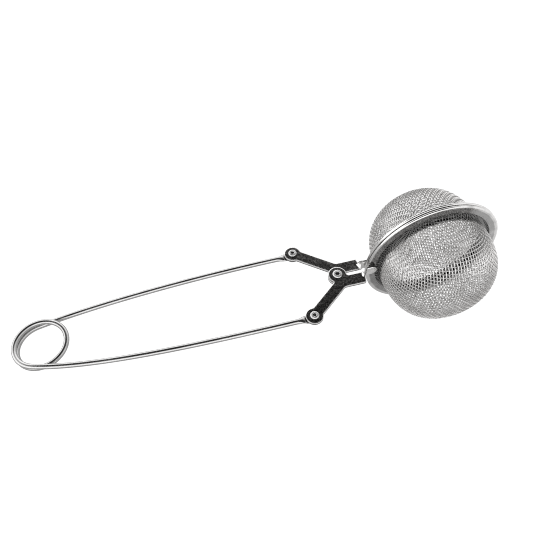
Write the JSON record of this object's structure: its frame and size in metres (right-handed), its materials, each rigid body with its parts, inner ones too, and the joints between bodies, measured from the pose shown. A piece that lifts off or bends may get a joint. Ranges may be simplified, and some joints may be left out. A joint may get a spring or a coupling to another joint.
{
  "type": "tea infuser",
  "caption": "Ball tea infuser: two woven-wire bowls on pivoted levers, opened by squeezing a looped spring-wire handle.",
  "frame": {"origin": "below the middle of the whole length, level with the lowest point of the rim rings", "axes": "+X along the handle from the finger loop to the ball, -Y towards the half whose lever lies on top (the front half), +Z along the pivot rivet, away from the lower lever"},
  "size_m": [0.1762, 0.0466, 0.05],
  "materials": {
    "wire_steel": "polished stainless spring wire",
    "rim_steel": "polished pressed stainless sheet",
    "lever_steel": "tumbled stainless stamping",
    "mesh_steel": "plain-woven stainless wire cloth",
    "rivet_steel": "bright tubular rivet"
  },
  "bodies": {
    "pivot": {"pivot_rivet": "rivet_steel"},
    "front_half": {"front_lever": "lever_steel", "front_rim_ring": "rim_steel", "front_mesh_bowl": "mesh_steel", "front_arm_rivet": "rivet_steel"},
    "back_half": {"back_lever": "lever_steel", "back_rim_ring": "rim_steel", "back_mesh_bowl": "mesh_steel", "back_arm_rivet": "rivet_steel"},
    "front_arm": {"front_handle_arm": "wire_steel", "finger_loop": "wire_steel"},
    "back_arm": {"back_handle_arm": "wire_steel"}
  },
  "joints": [
    {"name": "front_opening", "type": "hinge", "parent": "pivot", "child": "front_half", "pos_m": [0.02741, 0, 0.0235], "axis": [0, 0, -1], "range_deg": [0, 25], "stiffness_Nm_per_rad": 0.3, "springref_deg": -17.19},
    {"name": "back_opening", "type": "hinge", "parent": "pivot", "child": "back_half", "pos_m": [0.02741, 0, 0.0235], "axis": [0, 0, 1], "range_deg": [0, 25]},
    {"name": "front_arm_pivot", "type": "hinge", "parent": "front_half", "child": "front_arm", "pos_m": [0.01451, -0.0144, 0.0235], "axis": [0, 0, 1], "range_deg": [0, 30]},
    {"name": "loop_flex", "type": "hinge", "parent": "front_arm", "child": "back_arm", "pos_m": [-0.07859, 0, 0.0224], "axis": [0, 0, -1], "range_deg": [0, 9]}
  ],
  "couplings": [
    {"joint": "back_opening", "follows": "front_opening", "ratio": 1},
    {"joint": "front_arm_pivot", "follows": "front_opening", "ratio": 1.1621},
    {"joint": "loop_flex", "follows": "front_opening", "ratio": 0.3244}
  ]
}
